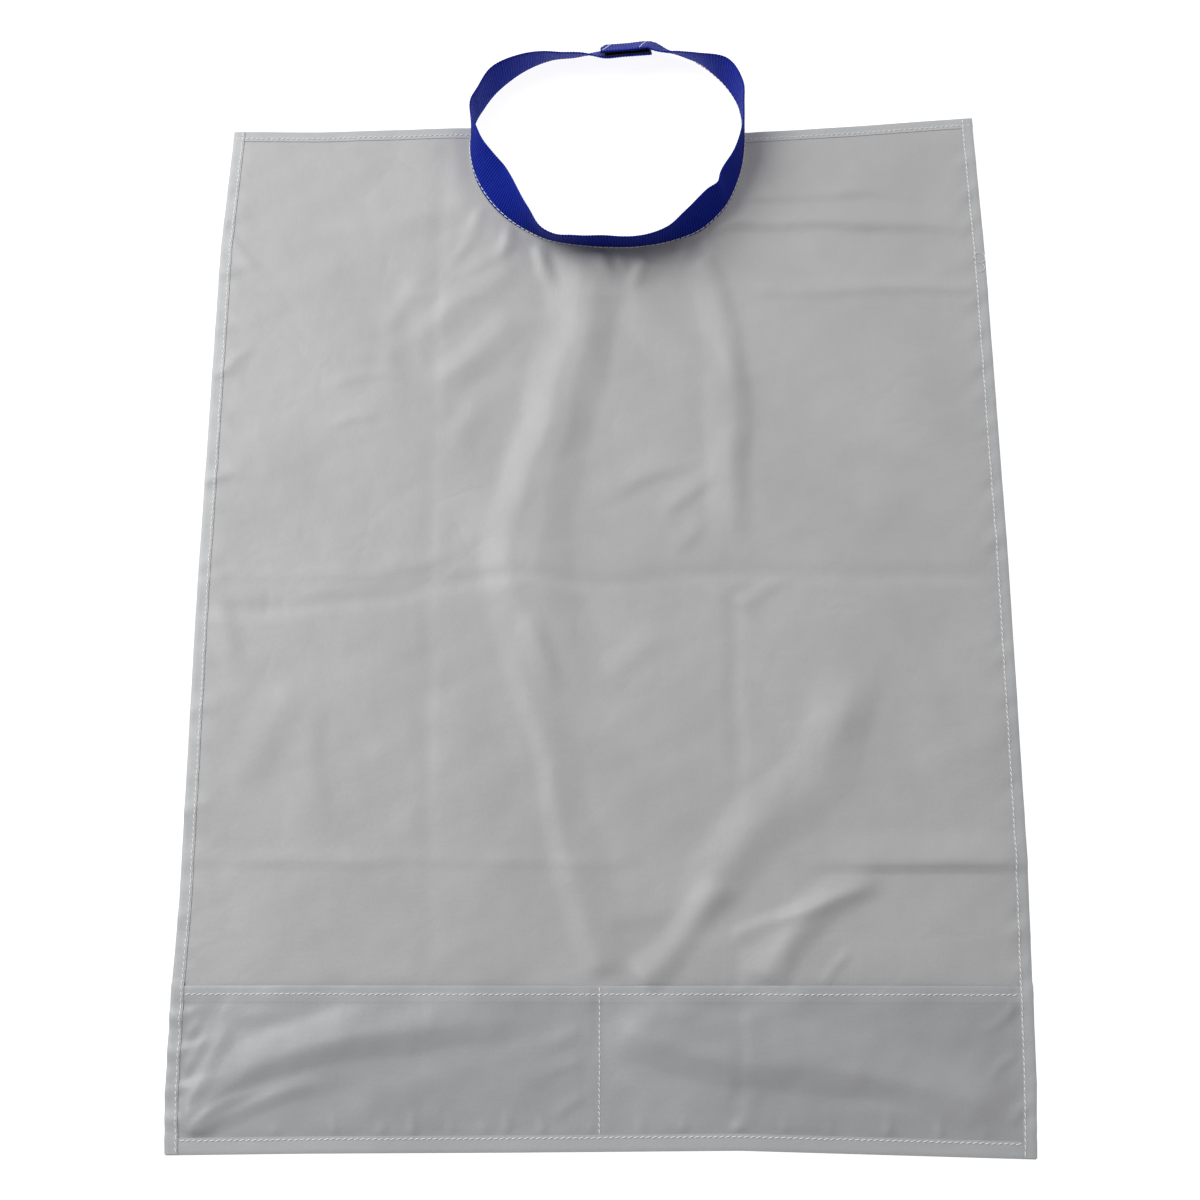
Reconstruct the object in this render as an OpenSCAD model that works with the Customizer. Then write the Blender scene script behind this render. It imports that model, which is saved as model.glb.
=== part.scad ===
// Bib-style patient apron of clear matt film: a hemmed sheet with a U-shaped neckline,
// a webbing neck band that opens at the back, and a two-compartment catch pocket.
// The apron lies flat, front up. Origin: middle of the sheet, on its flat back face.
// +Y runs towards the neck, +X to the right as seen from above, +Z up.

/* [Sheet] */
// Width of the finished sheet
sheet_w = 450; // [430:5:470]
// Length of the finished sheet
sheet_l = 600; // [560:5:640]
// Thickness of the film
film_t = 0.3; // [0.2:0.05:0.4]
// Width of the hems down both sides
side_hem_w = 6.5; // [6.5:0.1:8]
// Width of the hem along the top edge
top_hem_w = 6.5; // [6:0.1:8]
// Distance of the lower fold line from the bottom edge
fold_from_bottom = 153; // [140:1:165]
// Height of the fold's axis above the flat back face
fold_axis_z = 1.5; // [1.5:0.1:2.5]

/* [Pocket] */
// Height of the pocket from the bottom edge to its mouth
pocket_h = 86.5; // [70:0.5:100]
// Width of the hem along the pocket's mouth
mouth_hem_w = 7; // [6:0.5:9]
// Width of the hem along the bottom edge
bottom_hem_w = 8.2; // [8:0.1:10]
// Distance of the dividing seam from the sheet's centre line
divider_x = 1.5; // [-10:0.5:10]
// How far each compartment stands open at its mouth
pocket_gape = 8; // [6:0.5:12]

/* [Neck band] */
// Width of the webbing
band_w = 25; // [20:0.5:30]
// Thickness of the webbing
band_t = 1.2; // [1:0.1:1.5]
// Gap between two lengths of webbing where the band can swing
joint_gap = 0.3; // [0.3:0.05:0.5]

/* [Fastener] */
// Width of the hook and loop patches
patch_w = 22; // [16:0.5:24]
// Length of the hook and loop patches
patch_l = 28; // [24:0.5:29]
// Thickness of the hook patch
hook_t = 0.9; // [0.7:0.05:1.1]
// Thickness of the loop patch
loop_t = 1.2; // [0.9:0.05:1.4]
// Clearance between the hooks and the loops
patch_gap = 0.3; // [0.3:0.05:0.5]

/* [Stitching] */
// Length of one stitch
stitch_l = 3.15; // [2.5:0.05:4]
// Width of the sewing thread
thread_w = 0.45; // [0.3:0.05:0.6]
// Height of the thread above the film
thread_h = 0.2; // [0.15:0.05:0.3]
// Distance of the side seams from the side edges
side_seam = 5.8; // [4.5:0.1:6]
// Distance of the top seam from the top edge
top_seam = 4.8; // [3.5:0.1:5.5]
// Distance of the bottom seam from the bottom edge
bottom_seam = 7.3; // [6.5:0.1:7.5]
// Distance of the mouth seam from the pocket's mouth
mouth_seam = 4.5; // [3:0.1:5.5]
// Distance of the neckline seam from the webbing's lower edge
neckline_seam = 1.8; // [1.5:0.1:3]

/* [Hidden] */

FILM = [0.70, 0.71, 0.72];
FILM_POCKET = [0.74, 0.76, 0.78];
WEBBING = [0.10, 0.15, 0.55];
THREAD = [0.94, 0.94, 0.93];
HOOK_BLACK = [0.05, 0.05, 0.06];

top_y = sheet_l / 2;
bottom_y = -sheet_l / 2;
side_x = sheet_w / 2;
fold_y = bottom_y + fold_from_bottom;
mouth_y = bottom_y + pocket_h;
hem_z = 2 * film_t;
pocket_hem_z = 3 * film_t;
fold_gap = 0.4;
hem_lap = 1;

// The band stands on its lower edge in an uneven loop. Each station is a place on that
// edge: x, distance past the sheet's top edge, height above the back face, and the lean
// towards the inside of the loop in degrees. The first station is the free end of the
// left strap, which the fastening tab covers; both run straight there, side by side.
closure_lean = 42;
closure_past_top = 51.5;
closure_slope = 0.06;
stack_t = band_t + hook_t + patch_gap + loop_t;
tab_offset = stack_t * cos(closure_lean);
tab_rise = stack_t * sin(closure_lean);
function in_closure(x, offset, rise) =
    [x, closure_past_top + closure_slope * x + offset, rise, closure_lean];
STATIONS = [
    in_closure(31, 0, 0),
    in_closure(15.5, 0, 0),
    in_closure(0, 0, 0),
    [-15, 48, 0, 27],
    [-31, 46, 0, 21],
    [-48, 38, 0, 8],
    [-63, 25, 0, -6],
    [-72, 12, 0, -3],
    [-77, 1, 0, 0],
    [-79, -16, 0, 17],
    [-75, -36, 0, 34],
    [-65, -54, 0, 39],
    [-50, -68, 0, 20],
    [-32, -77, 0, -12],
    [-14, -81, 0, -15],
    [4, -83, 0, -14],
    [22, -83, 0, -12],
    [42, -80, 0, -5],
    [61, -73, 0, 18],
    [76, -57, 0, 20],
    [84, -37, 0, 12],
    [87, -17, 0, 4],
    [86.5, 1, 0, 0],
    [83.5, 14, 0, -6],
    [75, 28, 0, -6],
    [63, 40.5, 0, 18],
    [52, 46, 0.3 * tab_rise, 27],
    [42, 50.2, 0.8 * tab_rise, 37],
    in_closure(31.5, tab_offset, tab_rise),
    in_closure(15.5, tab_offset, tab_rise),
    in_closure(0, tab_offset, tab_rise)
];
LEFT_HINGE = 8;
RIGHT_HINGE = 22;
TAB_HINGE = 28;
LAST = len(STATIONS) - 1;
rings_per_station = 5;

// Catmull-Rom curve through a list of stations; u counts stations from 0.
// The list is carried on in a straight line past both ends.
function curve_at(p, u) =
    let (
        i = max(0, min(floor(u), len(p) - 2)),
        t = u - i,
        b = p[i],
        c = p[i + 1],
        a = i > 0 ? p[i - 1] : 2 * b - c,
        d = i + 2 < len(p) ? p[i + 2] : 2 * c - b
    )
    u < 0 ? b + (c - b) * u
    : u > len(p) - 1 ? c + (c - b) * (t - 1)
    : 0.5 * (2 * b + (c - a) * t + (2 * a - 5 * b + 4 * c - d) * t * t
        + (3 * b - a - 3 * c + d) * t * t * t);

function band_at(u) = curve_at(STATIONS, u) + [0, top_y, 0, 0];

// Unit direction of the band's lower edge at u, seen from above, evened out over a station
function band_heading(u) =
    let (
        reach = 0.5,
        d = band_at(u + reach) - band_at(u - reach)
    )
    [d[0], d[1]] / norm([d[0], d[1]]);

// A point of the band at u: off is the distance inwards from the webbing's middle,
// up is the distance across the webbing from its lower edge.
function band_point(u, off, up) =
    let (
        b = band_at(u),
        h = band_heading(u),
        lean = b[3],
        foot = [b[0], b[1], b[2] + band_t / 2 * abs(sin(lean))],
        inward = [-h[1], h[0]],
        through = [inward[0] * cos(lean), inward[1] * cos(lean), -sin(lean)],
        across = [inward[0] * sin(lean), inward[1] * sin(lean), cos(lean)]
    )
    foot + through * off + across * up;

// Station value that lies mm millimetres along from u, found in short strides
function band_step(u, mm) =
    let (
        stride = mm < 0 ? -0.1 : 0.1,
        a = band_at(u),
        b = band_at(u + stride),
        d = norm([b[0] - a[0], b[1] - a[1]])
    )
    abs(mm) <= d
    ? u + stride * abs(mm) / d
    : band_step(u + stride, mm < 0 ? mm + d : mm - d);

// Triangles of a tube of four-cornered rings, rings counted from 0 to n
function ring_faces(n) = concat(
    [[0, 1, 2, 3]],
    [for (i = [0 : n - 1], k = [0 : 3], half = [0, 1])
        let (
            a = 4 * i,
            b = 4 * i + 4,
            m = (k + 1) % 4
        )
        half == 0 ? [a + m, a + k, b + k] : [a + m, b + k, b + m]],
    [[4 * n + 3, 4 * n + 2, 4 * n + 1, 4 * n]]
);

// A length of band from u0 to u1, between two depths and two heights
module band_length(u0, u1, off0, off1, up0, up1) {
    n = max(2, ceil((u1 - u0) * rings_per_station));
    corners = [[off0, up0], [off1, up0], [off1, up1], [off0, up1]];
    points = [for (i = [0 : n], c = corners) band_point(u0 + (u1 - u0) * i / n, c[0], c[1])];
    polyhedron(points, ring_faces(n), convexity = 10);
}

module webbing(u0, u1) {
    color(WEBBING)
        band_length(u0, u1, -band_t / 2, band_t / 2, 0, band_w);
}

// The neckline, cut along the foot of the sewn length of band
module neckline_cut(h) {
    steps = (RIGHT_HINGE - LEFT_HINGE) * rings_per_station;
    clear_y = top_y + 10;
    foot = [for (k = [0 : steps])
        let (b = band_at(LEFT_HINGE + k / rings_per_station))
        [b[0], b[1]]];
    past_top = [[foot[steps][0], clear_y], [foot[0][0], clear_y]];
    translate([0, 0, -1])
        linear_extrude(h + 2)
            polygon(concat(foot, past_top));
}

// A straight bar of film with its low corner at x, y, z
module strip(x, y, z, w, l) {
    translate([x, y, z])
        cube([w, l, film_t]);
}

// Sheet above the fold, doubled along its side and top hems
module bib_upper() {
    l = top_y - fold_y;
    color(FILM)
        difference() {
            union() {
                strip(-side_x, fold_y, 0, sheet_w, l);
                strip(-side_x, fold_y, film_t, side_hem_w, l);
                strip(side_x - side_hem_w, fold_y, film_t, side_hem_w, l);
                strip(-side_x, top_y - top_hem_w, film_t, sheet_w, top_hem_w);
            }
            neckline_cut(hem_z);
        }
}

// Sheet below the fold. Its side and bottom hems wrap over the edges of the pocket.
module bib_lower() {
    high_y = fold_y - fold_gap;
    l = high_y - bottom_y;
    color(FILM)
        union() {
            strip(-side_x, bottom_y, 0, sheet_w, l);
            for (x = [-side_x, side_x - side_hem_w])
                strip(x, mouth_y, film_t, side_hem_w, high_y - mouth_y);
            for (x = [-side_x, side_x - film_t])
                translate([x, bottom_y, 0])
                    cube([film_t, pocket_h, pocket_hem_z]);
            translate([-side_x, bottom_y, 0])
                cube([sheet_w, film_t, pocket_hem_z]);
            for (x = [-side_x, side_x - side_hem_w])
                strip(x, bottom_y, hem_z, side_hem_w, pocket_h + hem_lap);
            strip(-side_x, bottom_y, hem_z, sheet_w, bottom_hem_w);
        }
}

// Pocket: each compartment rises from its seams to a soft arch at the mouth
panel_x = side_x - film_t;
panel_in = side_x - side_hem_w;
panel_low = bottom_y + film_t;
panel_rise_y = bottom_y + bottom_hem_w;
divider_half = 1.5;
compartment_cells = 14;
panel_rows = 6;
hem_step = 0.1;
hem_in = panel_in - hem_step;
function compartment_xs(x0, x1) =
    [for (k = [0 : compartment_cells]) x0 + (x1 - x0) * k / compartment_cells];
PANEL_XS = concat(
    [-panel_x, -panel_in],
    compartment_xs(-hem_in, divider_x - divider_half),
    compartment_xs(divider_x + divider_half, hem_in),
    [panel_in, panel_x]
);
PANEL_YS = concat(
    [panel_low],
    [for (k = [0 : panel_rows])
        panel_rise_y + (mouth_y - mouth_hem_w - panel_rise_y) * k / panel_rows],
    [mouth_y - mouth_hem_w + hem_step, mouth_y]
);

function arch(x) =
    x < divider_x
    ? sin(180 * max(0, min(1, (x + panel_in) / (divider_x - divider_half + panel_in))))
    : sin(180 * max(0, min(1, (panel_in - x) / (panel_in - divider_x - divider_half))));
function panel_lift(x, y) =
    let (run = max(0, (y - panel_rise_y) / (mouth_y - panel_rise_y)))
    pocket_gape * pow(max(0, arch(x)), 0.8) * sin(90 * run);
function panel_under(x, y) = film_t + panel_lift(x, y);
function panel_doubled(x, y) = y > mouth_y - mouth_hem_w && abs(x) < panel_in - hem_step / 2;
function panel_top(x, y) = panel_under(x, y) + (panel_doubled(x, y) ? 2 : 1) * film_t;

module pocket_panel() {
    nx = len(PANEL_XS);
    ny = len(PANEL_YS);
    count = nx * ny;
    under = [for (y = PANEL_YS, x = PANEL_XS) [x, y, panel_under(x, y)]];
    top = [for (y = PANEL_YS, x = PANEL_XS) [x, y, panel_top(x, y)]];
    low = function (i, j) j * nx + i;
    high = function (i, j) count + j * nx + i;
    sheets = [for (j = [0 : ny - 2], i = [0 : nx - 2], f = [0 : 3])
        f == 0 ? [high(i, j), high(i, j + 1), high(i + 1, j + 1)]
        : f == 1 ? [high(i, j), high(i + 1, j + 1), high(i + 1, j)]
        : f == 2 ? [low(i, j), low(i + 1, j + 1), low(i, j + 1)]
        : [low(i, j), low(i + 1, j), low(i + 1, j + 1)]];
    front = [for (i = [0 : nx - 2], f = [0, 1])
        f == 0 ? [low(i, 0), high(i, 0), high(i + 1, 0)]
        : [low(i, 0), high(i + 1, 0), low(i + 1, 0)]];
    back = [for (i = [0 : nx - 2], f = [0, 1])
        f == 0 ? [low(i, ny - 1), high(i + 1, ny - 1), high(i, ny - 1)]
        : [low(i, ny - 1), low(i + 1, ny - 1), high(i + 1, ny - 1)]];
    left = [for (j = [0 : ny - 2], f = [0, 1])
        f == 0 ? [low(0, j), high(0, j + 1), high(0, j)]
        : [low(0, j), low(0, j + 1), high(0, j + 1)]];
    right = [for (j = [0 : ny - 2], f = [0, 1])
        f == 0 ? [low(nx - 1, j), high(nx - 1, j), high(nx - 1, j + 1)]
        : [low(nx - 1, j), high(nx - 1, j + 1), low(nx - 1, j + 1)]];
    color(FILM_POCKET)
        polyhedron(concat(under, top), concat(sheets, front, back, left, right), convexity = 10);
}

module neck_tape() {
    webbing(LEFT_HINGE, RIGHT_HINGE);
}

module left_strap() {
    webbing(0, band_step(LEFT_HINGE, -joint_gap));
}

module right_strap() {
    webbing(band_step(RIGHT_HINGE, joint_gap), TAB_HINGE);
}

module fastening_tab() {
    webbing(band_step(TAB_HINGE, joint_gap), LAST);
}

// The patches face each other between the strap's free end and the tab.
patch_inset = 1;
patch_low = (band_w - patch_w) / 2;
module hook_patch() {
    tip = band_step(LAST, -patch_inset);
    off = band_t / 2;
    color(HOOK_BLACK)
        band_length(band_step(tip, -patch_l), tip, off, off + hook_t, patch_low, patch_low + patch_w);
}

module loop_patch() {
    tip = band_step(0, patch_inset);
    off = -band_t / 2;
    color(HOOK_BLACK)
        band_length(tip, band_step(tip, patch_l), off - loop_t, off, patch_low, patch_low + patch_w);
}

function stitch_count(l) = floor(l / stitch_l);
function stitch_pitch(l) = l / stitch_count(l);

// A row of stitches seen from the side: each stitch crowns between two needle holes.
// The film below is z0 high up to the hole numbered step_hole, and z1 high after it.
module stitch_row(l, z0, z1, step_hole) {
    n = stitch_count(l);
    pitch = stitch_pitch(l);
    dip = 0.05;
    crown_end = 0.15;
    crowns = [for (k = [0 : n - 1], f = [crown_end, 1 - crown_end])
        [(k + f) * pitch, (k < step_hole ? z0 : z1) + thread_h]];
    holes = [for (k = [0 : n])
        [k * pitch, (k < step_hole ? z0 : k > step_hole ? z1 : max(z0, z1)) + dip]];
    over = [for (k = [0 : n - 1], p = [holes[k], crowns[2 * k], crowns[2 * k + 1]]) p];
    step_at = step_hole * pitch;
    under = step_hole > 0 ? [[step_at, z1], [step_at, z0]] : [];
    rotate([90, 0, 0])
        translate([0, 0, -thread_w / 2])
            linear_extrude(thread_w)
                polygon(concat(over, [holes[n], [l, z1]], under, [[0, z0]]));
}

// A seam starts at x, y and runs along +X, or along +Y when turned 90 degrees.
module seam(x, y, l, z, turn = 0, after_step = undef, step_hole = 0) {
    z1 = after_step == undef ? z : after_step;
    color(THREAD)
        translate([x, y, 0])
            rotate([0, 0, turn])
                stitch_row(l, z, z1, step_hole);
}

seam_clear = 1.7;
bite = 0.1;
side_seam_x = side_x - side_seam;
top_seam_y = top_y - top_seam;
bottom_seam_y = bottom_y + bottom_seam;
mouth_seam_y = mouth_y - mouth_seam;
neck_clear = 4;

module top_hem_thread_left() {
    x1 = band_at(LEFT_HINGE)[0] - neck_clear;
    seam(-side_x + 1, top_seam_y, x1 + side_x - 1, hem_z);
}

module top_hem_thread_right() {
    x0 = band_at(RIGHT_HINGE)[0] + neck_clear;
    seam(x0, top_seam_y, side_x - 1 - x0, hem_z);
}

module side_thread_upper(x) {
    seam(x, fold_y + 1, top_seam_y - seam_clear - fold_y - 1, hem_z, 90);
}

module side_thread_lower(x) {
    y0 = bottom_y + 1;
    l = fold_y - fold_gap - 1 - y0;
    mouth_hole = ceil((mouth_y + hem_lap - y0) / stitch_pitch(l));
    seam(x, y0, l, pocket_hem_z, 90, hem_z, mouth_hole);
}

module left_hem_thread_upper() { side_thread_upper(-side_seam_x); }

module left_hem_thread_lower() { side_thread_lower(-side_seam_x); }

module right_hem_thread_upper() { side_thread_upper(side_seam_x); }

module right_hem_thread_lower() { side_thread_lower(side_seam_x); }

module pocket_bottom_thread() {
    x0 = -side_seam_x + seam_clear;
    seam(x0, bottom_seam_y, -2 * x0, pocket_hem_z);
}

module pocket_divider_thread() {
    y0 = bottom_y + bottom_hem_w + 0.5;
    l = mouth_seam_y - seam_clear - y0;
    hem_hole = floor((mouth_y - mouth_hem_w - y0) / stitch_pitch(l));
    seam(divider_x, y0, l, hem_z, 90, pocket_hem_z, hem_hole);
}

// Thread along the mouth, riding over the arch of each compartment
module pocket_mouth_thread() {
    xs = [for (x = PANEL_XS) if (abs(x) < panel_in - 1) x];
    sides = [[-1, 0], [1, 0], [1, 1], [-1, 1]];
    points = [for (x = xs, s = sides)
        [x, mouth_seam_y - s[0] * thread_w / 2, panel_top(x, mouth_seam_y) + s[1] * thread_h]];
    color(THREAD)
        polyhedron(points, ring_faces(len(xs) - 1), convexity = 10);
}

// Thread along the foot of the sewn webbing, on its outer face
module neckline_thread() {
    off = -band_t / 2;
    color(THREAD)
        band_length(LEFT_HINGE + 0.05, RIGHT_HINGE - 0.05, off - thread_h, off + bite,
            neckline_seam, neckline_seam + thread_w);
}

// Two rows of stitches across the webbing, one at each end of a patch
row_inset = 3;
row_up0 = patch_low + 0.5;
row_up1 = band_w - patch_low - 0.5;
module rows_across(us, off0, off1) {
    for (u = us)
        color(THREAD)
            band_length(band_step(u, -thread_w / 2), band_step(u, thread_w / 2), off0, off1,
                row_up0, row_up1);
}

module hook_patch_thread() {
    off = -band_t / 2;
    tip = band_step(LAST, -patch_inset);
    rows_across([band_step(tip, -row_inset), band_step(tip, row_inset - patch_l)],
        off - thread_h, off + bite);
}

module loop_patch_thread() {
    off = band_t / 2;
    tip = band_step(0, patch_inset);
    rows_across([band_step(tip, row_inset), band_step(tip, patch_l - row_inset)],
        off - bite, off + thread_h);
}

bib_upper();
bib_lower();
pocket_panel();
neck_tape();
left_strap();
right_strap();
fastening_tab();
hook_patch();
loop_patch();
top_hem_thread_left();
top_hem_thread_right();
left_hem_thread_upper();
left_hem_thread_lower();
right_hem_thread_upper();
right_hem_thread_lower();
pocket_mouth_thread();
pocket_divider_thread();
pocket_bottom_thread();
neckline_thread();
hook_patch_thread();
loop_patch_thread();
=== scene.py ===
# A bib-style patient apron of matt grey film with a blue webbing neck band, lying flat.
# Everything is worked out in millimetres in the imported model's own frame and is turned
# into metres only where a mesh is made.
import math

import bpy
import numpy as np
from mathutils import Euler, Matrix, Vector


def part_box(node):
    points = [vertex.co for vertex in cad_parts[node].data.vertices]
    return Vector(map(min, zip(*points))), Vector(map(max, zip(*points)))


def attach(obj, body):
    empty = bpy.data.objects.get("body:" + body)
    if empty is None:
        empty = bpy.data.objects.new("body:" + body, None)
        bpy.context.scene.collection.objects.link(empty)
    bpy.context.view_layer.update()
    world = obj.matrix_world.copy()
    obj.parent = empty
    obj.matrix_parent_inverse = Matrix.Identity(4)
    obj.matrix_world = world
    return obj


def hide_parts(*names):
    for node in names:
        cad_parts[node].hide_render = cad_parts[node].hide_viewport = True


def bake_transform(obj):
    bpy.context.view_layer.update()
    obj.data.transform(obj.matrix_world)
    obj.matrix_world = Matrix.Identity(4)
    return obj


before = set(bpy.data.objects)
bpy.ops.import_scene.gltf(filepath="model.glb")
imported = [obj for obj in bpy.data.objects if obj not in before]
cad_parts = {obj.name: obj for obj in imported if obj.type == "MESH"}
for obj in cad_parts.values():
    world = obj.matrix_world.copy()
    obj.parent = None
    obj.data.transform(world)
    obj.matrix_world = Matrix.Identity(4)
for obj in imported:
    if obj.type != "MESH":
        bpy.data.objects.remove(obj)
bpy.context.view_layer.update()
MM = 0.001


def node_box(name):
    """Lowest and highest corner of a CAD node, in millimetres."""
    low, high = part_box(name)
    return np.array(low) / MM, np.array(high) / MM


# ---- sizes from the frame
HALF_THREAD = 0.22


def seam_middle(node, axis):
    """Where the middle of a seam's thread runs, from the high side of its CAD bar."""
    return node_box(node)[1][axis] - HALF_THREAD


FOLD_Y = node_box("bib_upper")[0][1]
SIDE_X, TOP_Y, TWO_LAYERS = node_box("bib_upper")[1]
FILM_T = TWO_LAYERS / 2
BOTTOM_Y = node_box("bib_lower")[0][1]
MOUTH_Y = node_box("pocket_panel")[1][1]
SIDE_SEAM_X = seam_middle("right_hem_thread_upper", 0)
TOP_SEAM_Y = seam_middle("top_hem_thread_left", 1)
BOTTOM_SEAM_Y = seam_middle("pocket_bottom_thread", 1)
MOUTH_SEAM_Y = seam_middle("pocket_mouth_thread", 1)
DIVIDER_X = seam_middle("pocket_divider_thread", 0)
SIDE_HEM = 6.5
TOP_HEM = 6.5
BOTTOM_HEM = 8.2
MOUTH_HEM = 7.0
LAYER = FILM_T + 0.02
CURL = FILM_T / 2 + LAYER / 2
STITCH = 3.15
THREAD_R = 0.23
UNDER_EDGE = 0.05
BAND_W = node_box("neck_tape")[1][2] - node_box("neck_tape")[0][2] - UNDER_EDGE
BAND_T = 1.2
RIB_PITCH = 1.7
HOOK_T = 0.9
LOOP_T = 1.2
PATCH_GAP = 0.3
PATCH_W = 22.0
PATCH_L = 28.0
PATCH_INSET = 1.0
HOOK_BACKING = 0.38
LOOP_BACKING = 0.5
WEAVE_PITCH = 0.62
FACING_H = 4.5
NECK_SEAM_UP = 1.8
SEAM_LIFT = 0.03


# ---- small maths
def smooth(t):
    t = np.clip(t, 0, 1)
    return t * t * (3 - 2 * t)


def spaced(low, high, cell):
    return np.linspace(low, high, max(2, int(round((high - low) / cell)) + 1))


def curve_at(points, u):
    """Catmull-Rom through points at u (an array), carried on straight past both ends."""
    p = np.asarray(points, float)
    u = np.atleast_1d(np.asarray(u, float))
    last = len(p) - 1
    i = np.clip(np.floor(u).astype(int), 0, last - 1)
    t = (u - i)[:, None]
    b, c = p[i], p[i + 1]
    a = np.where((i > 0)[:, None], p[np.maximum(i - 1, 0)], 2 * b - c)
    d = np.where((i + 2 <= last)[:, None], p[np.minimum(i + 2, last)], 2 * c - b)
    curved = (c - a) * t + (2 * a - 5 * b + 4 * c - d) * t * t + (3 * b - a - 3 * c + d) * t**3
    straight = np.where((u < 0)[:, None], b + (c - b) * u[:, None], c + (c - b) * (t - 1))
    return np.where(((u < 0) | (u > last))[:, None], straight, b + curved / 2)


def nearest_on(path, x, y):
    """Distance to a polyline, the share of its length, and the side (+1 is its left)."""
    best = np.full(x.shape, 1e9)
    share = np.zeros(x.shape)
    side = np.ones(x.shape)
    steps = np.linalg.norm(np.diff(path, axis=0), axis=1)
    along = np.concatenate([[0.0], np.cumsum(steps)])
    for k in range(len(path) - 1):
        ax, ay = path[k]
        dx, dy = path[k + 1] - path[k]
        length2 = max(dx * dx + dy * dy, 1e-9)
        t = np.clip(((x - ax) * dx + (y - ay) * dy) / length2, 0.0, 1.0)
        qx, qy = x - ax - t * dx, y - ay - t * dy
        dist = np.hypot(qx, qy)
        closer = dist < best
        best = np.where(closer, dist, best)
        share = np.where(closer, (along[k] + t * steps[k]) / along[-1], share)
        side = np.where(closer, np.where(dx * qy - dy * qx >= 0, 1.0, -1.0), side)
    return best, share, side


def random_swell(x, y, seed, count, shortest, longest, slope):
    """A smooth random height of about the given slope."""
    rng = np.random.RandomState(seed)
    out = np.zeros(x.shape)
    for _ in range(count):
        k = math.tau / (shortest * (longest / shortest) ** rng.rand())
        angle = rng.rand() * math.tau
        phase = rng.rand() * math.tau
        out += np.cos(k * (x * math.cos(angle) + y * math.sin(angle)) + phase) / k
    return out * slope / math.sqrt(count / 2)


# ---- the band's route
# Each station is x, distance past the sheet's top edge, height and lean inwards (degrees).
CLOSURE_LEAN = 42.0
CLOSURE_PAST_TOP = 51.5
CLOSURE_SLOPE = 0.06
STACK = BAND_T + HOOK_T + PATCH_GAP + LOOP_T
TAB_OFFSET = STACK * math.cos(math.radians(CLOSURE_LEAN))
TAB_RISE = STACK * math.sin(math.radians(CLOSURE_LEAN))


def in_closure(x, offset, rise):
    return [x, CLOSURE_PAST_TOP + CLOSURE_SLOPE * x + offset, rise, CLOSURE_LEAN]


STATIONS = [
    in_closure(31, 0, 0), in_closure(15.5, 0, 0), in_closure(0, 0, 0),
    [-15, 48, 0, 27], [-31, 46, 0, 21], [-48, 38, 0, 8], [-63, 25, 0, -6], [-72, 12, 0, -3],
    [-77, 1, 0, 0], [-79, -16, 0, 17], [-75, -36, 0, 34], [-65, -54, 0, 39],
    [-50, -68, 0, 20], [-32, -77, 0, -12], [-14, -81, 0, -15], [4, -83, 0, -14],
    [22, -83, 0, -12], [42, -80, 0, -5], [61, -73, 0, 18], [76, -57, 0, 20],
    [84, -37, 0, 12], [87, -17, 0, 4], [86.5, 1, 0, 0], [83.5, 14, 0, -6], [75, 28, 0, -6],
    [63, 40.5, 0, 18], [52, 46, 0.3 * TAB_RISE, 27], [42, 50.2, 0.8 * TAB_RISE, 37],
    in_closure(31.5, TAB_OFFSET, TAB_RISE), in_closure(15.5, TAB_OFFSET, TAB_RISE),
    in_closure(0, TAB_OFFSET, TAB_RISE),
]
LEFT_HINGE, MIDDLE, RIGHT_HINGE, TAB_START, TAB_HINGE = 8, 15, 22, 27.4, 28
LAST = len(STATIONS) - 1
NECK_LIFT = 2.6
# Small kinks in the webbing: station, degrees of extra lean, and reach in stations.
BAND_KINKS = [
    (3.6, 1.5, 0.5), (6.4, 1.5, 0.6), (9.4, -2, 0.4), (10.5, 2, 0.4), (12.55, 3, 0.3),
    (13.6, -2, 0.35), (14.9, 2, 0.5), (16.2, -2, 0.5), (17.4, 2.5, 0.35), (18.95, -5.5, 0.24),
    (19.6, 2, 0.35), (24.6, 2, 0.4),
]


def neck_lift(y):
    """How far the sewn edge stands off the floor along the bottom of the neckline."""
    return NECK_LIFT * smooth((TOP_Y - 12 - y) / 45.0)


def band_frame(u):
    """Foot, inward-through and across directions of the band at u, for an array of u."""
    s = curve_at(STATIONS, u)
    d = curve_at(STATIONS, np.asarray(u) + 0.5) - curve_at(STATIONS, np.asarray(u) - 0.5)
    heading = d[:, :2] / np.linalg.norm(d[:, :2], axis=1)[:, None]
    kinks = sum(deg * np.exp(-(((u - at) / w) ** 2)) for at, deg, w in BAND_KINKS)
    lean = np.radians(s[:, 3] + kinks)
    in_x, in_y = -heading[:, 1], heading[:, 0]
    y = s[:, 1] + TOP_Y
    foot = np.stack([s[:, 0], y, s[:, 2] + BAND_T / 2 * np.abs(np.sin(lean)) + neck_lift(y)], 1)
    through = np.stack([in_x * np.cos(lean), in_y * np.cos(lean), -np.sin(lean)], 1)
    across = np.stack([in_x * np.sin(lean), in_y * np.sin(lean), np.cos(lean)], 1)
    return foot, through, across


U_DENSE = np.linspace(0, LAST, 3001)
FOOT_DENSE, _, ACROSS_DENSE = band_frame(U_DENSE)
MID_DENSE = FOOT_DENSE + ACROSS_DENSE * BAND_W / 2
BAND_S = np.concatenate([[0.0], np.cumsum(np.linalg.norm(np.diff(MID_DENSE, axis=0), axis=1))])


def band_s(u):
    """Length along the band's middle at station u."""
    return np.interp(u, U_DENSE, BAND_S)


def band_u(s):
    """Station at length s along the band's middle."""
    return np.interp(s, BAND_S, U_DENSE)


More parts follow.
